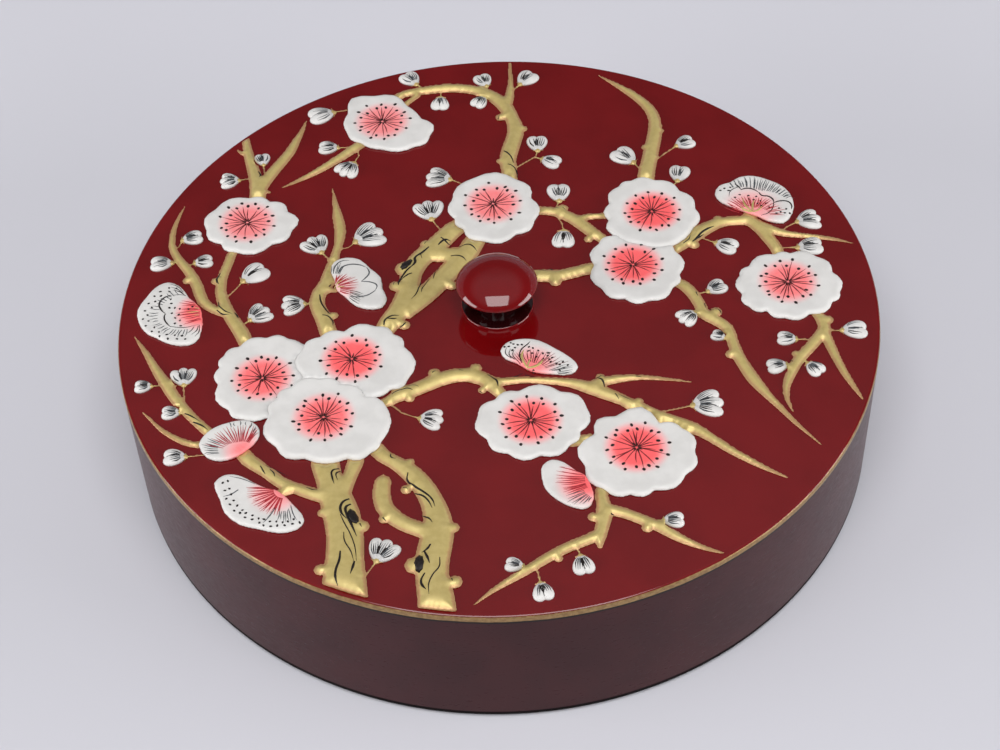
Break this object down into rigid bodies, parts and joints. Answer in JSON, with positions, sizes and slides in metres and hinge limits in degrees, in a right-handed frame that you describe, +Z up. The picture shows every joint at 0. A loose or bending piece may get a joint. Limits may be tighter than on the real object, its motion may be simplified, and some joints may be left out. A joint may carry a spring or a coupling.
{
  "type": "round lacquered candy box",
  "caption": "Round lidded box for sweets with a telescoping lid, a turned knob, inner compartments and a blossom branch in relief on the lid.",
  "frame": {"origin": "middle of the underside, on the table", "axes": "+Z up through the knob; +X to the right and +Y to the back as the picture shows the box"},
  "size_m": [0.3, 0.3, 0.0828],
  "materials": {
    "lid_lacquer": "deep red lacquer, polished to a mirror",
    "side_lacquer": "deep red lacquer, satin, with a gilded line along the top edge",
    "inner_lacquer": "black lacquer, satin",
    "petal_paste": "white, glossy, painted in coral and dark brown",
    "gilt_paste": "dull gold, satin, with dark bark lines",
    "screw_steel": "bright zinc"
  },
  "bodies": {
    "box": {"base_board": "inner_lacquer", "body_wall": "inner_lacquer", "centre_ring": "inner_lacquer", "divider_1": "inner_lacquer", "divider_2": "inner_lacquer", "divider_3": "inner_lacquer", "divider_4": "inner_lacquer", "divider_5": "inner_lacquer"},
    "lid": {"lid_top": "lid_lacquer", "lid_skirt": "side_lacquer", "knob": "lid_lacquer", "knob_washer": "screw_steel", "knob_screw": "screw_steel", "blossom_1": "petal_paste", "blossom_2": "petal_paste", "blossom_3": "petal_paste", "blossom_4": "petal_paste", "blossom_5": "petal_paste", "blossom_6": "petal_paste", "blossom_7": "petal_paste", "blossom_8": "petal_paste", "blossom_9": "petal_paste", "blossom_10": "petal_paste", "blossom_11": "petal_paste", "side_blossom_left": "petal_paste", "side_blossom_inner_left": "petal_paste", "side_blossom_low_left": "petal_paste", "side_blossom_front_left": "petal_paste", "side_blossom_back_right": "petal_paste", "side_blossom_middle": "petal_paste", "side_blossom_front": "petal_paste", "bough_front_left": "gilt_paste", "bough_front": "gilt_paste", "twig_low_left": "gilt_paste", "twig_lower_left": "gilt_paste", "bud_low_left": "gilt_paste", "bough_left": "gilt_paste", "bough_back_left": "gilt_paste", "bough_inner_left": "gilt_paste", "bough_middle": "gilt_paste", "bough_back": "gilt_paste", "bud_back_left": "gilt_paste", "bud_back_middle": "gilt_paste", "twig_back_left": "gilt_paste", "bough_back_right": "gilt_paste", "bud_back_right": "gilt_paste", "bough_inner_right": "gilt_paste", "bough_beside_knob": "gilt_paste", "bough_right": "gilt_paste", "bough_low_right": "gilt_paste", "fork_right": "gilt_paste", "bough_front_right": "gilt_paste", "link_front": "gilt_paste", "twig_front_right": "gilt_paste"}
  },
  "joints": [
    {"name": "lid_lift", "type": "slide", "parent": "box", "child": "lid", "axis": [0, 0, 1], "range_m": [0, 0.1]}
  ]
}
